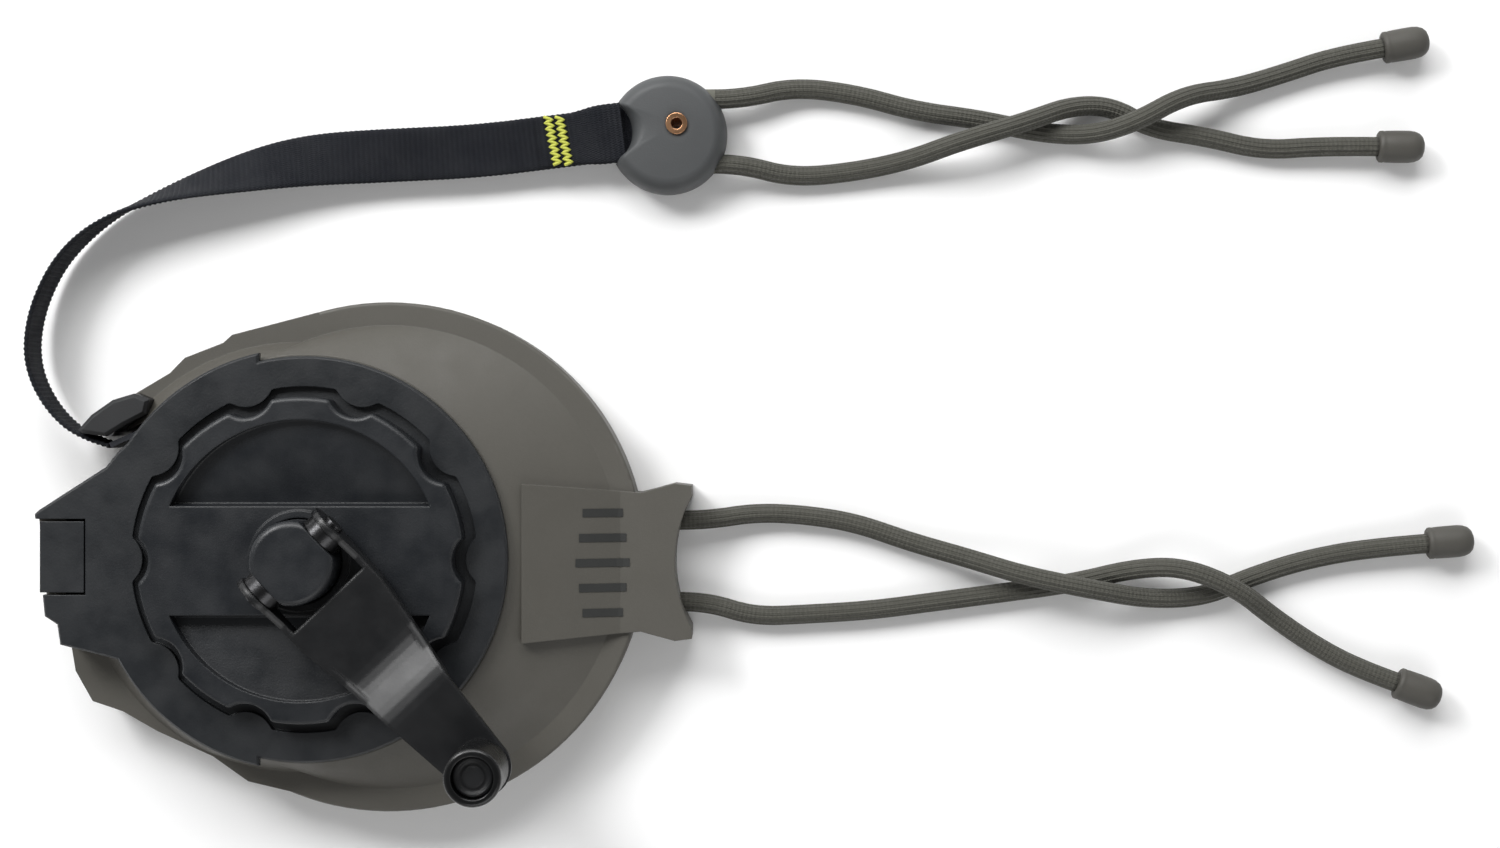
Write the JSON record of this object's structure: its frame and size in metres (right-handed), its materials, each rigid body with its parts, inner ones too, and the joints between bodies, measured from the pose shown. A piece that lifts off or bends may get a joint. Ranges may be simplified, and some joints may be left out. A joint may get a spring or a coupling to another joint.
{
  "type": "hand-crank gear hoist",
  "caption": "Hand-crank gear hoist: webbing strap on a spool in an olive housing, folding crank, load toggle and tie cords with rubber end caps.",
  "frame": {"origin": "point where the crank's axis meets the flat rear face of the housing", "axes": "+Z out of the front along the crank axis, +X towards the tie tab, +Y towards the side where the strap's mouth and toggle lie"},
  "size_m": [0.344, 0.1867, 0.0619],
  "materials": {
    "olive_shell": "fine moulded satin grain",
    "black_plate": "fine moulded grain",
    "black_cap": "satin moulded",
    "dark_guide": "satin moulded",
    "black_steel": "glossy black coat",
    "bright_steel": "turned",
    "spool_plastic": "moulded",
    "knob_plastic": "satin gloss",
    "black_webbing": "woven",
    "stitch_thread": "bar-tack thread",
    "grey_toggle": "fine grain",
    "copper_rivet": "bright",
    "olive_cord": "braided sleeve",
    "cap_rubber": "matt"
  },
  "bodies": {
    "housing": {"rear_shell": "olive_shell", "front_shell": "olive_shell", "bezel_plate": "black_plate", "drum_cap": "black_cap", "strap_guide": "dark_guide", "strap_wear_pin": "bright_steel", "rear_bushing": "spool_plastic", "front_bushing": "spool_plastic", "shell_screws": "bright_steel", "brake_pivot_pin": "bright_steel", "brake_spring": "bright_steel", "tie_cord_bight": "olive_cord", "toggle_cord_bight": "olive_cord", "tie_cord_upper": "olive_cord", "tie_cap_upper": "cap_rubber", "tie_cord_lower": "olive_cord", "tie_cap_lower": "cap_rubber", "toggle_cord_upper": "olive_cord", "toggle_cap_upper": "cap_rubber", "toggle_cord_lower": "olive_cord", "toggle_cap_lower": "cap_rubber", "strap_lead": "black_webbing", "strap_edge": "black_webbing", "strap_flat": "black_webbing", "strap_stitching": "stitch_thread", "toggle_rear": "grey_toggle", "toggle_front": "grey_toggle", "toggle_rivet": "copper_rivet"},
    "spool": {"spool_drum": "spool_plastic", "spool_front_flange": "spool_plastic", "strap_coil": "black_webbing", "strap_anchor_pin": "bright_steel", "crank_axle": "bright_steel", "crank_boss": "black_cap", "crank_hinge_pin": "bright_steel", "axle_screw": "bright_steel", "axle_washer": "bright_steel"},
    "crank": {"crank_arm": "black_steel", "friction_washers": "bright_steel", "knob_rivet": "bright_steel"},
    "knob": {"knob_sleeve": "knob_plastic"},
    "brake": {"brake_lever": "black_plate", "brake_pad": "cap_rubber"}
  },
  "joints": [
    {"name": "crank_spin", "type": "hinge", "parent": "housing", "child": "spool", "pos_m": [0, 0, 0.02], "axis": [0, 0, 1], "continuous": true},
    {"name": "crank_fold", "type": "hinge", "parent": "spool", "child": "crank", "pos_m": [0, 0, 0.038], "axis": [-0.7266, -0.6871, 0], "range_deg": [0, 100]},
    {"name": "knob_spin", "type": "hinge", "parent": "crank", "child": "knob", "pos_m": [0.04287, -0.04534, 0.05], "axis": [0, 0, 1], "continuous": true},
    {"name": "brake_press", "type": "hinge", "parent": "housing", "child": "brake", "pos_m": [-0.0505, 0.0006, 0.0212], "axis": [0, -1, 0], "range_deg": [0, 4], "stiffness_Nm_per_rad": 0.2, "springref_deg": -1.15, "deforming": ["brake_spring"]}
  ]
}
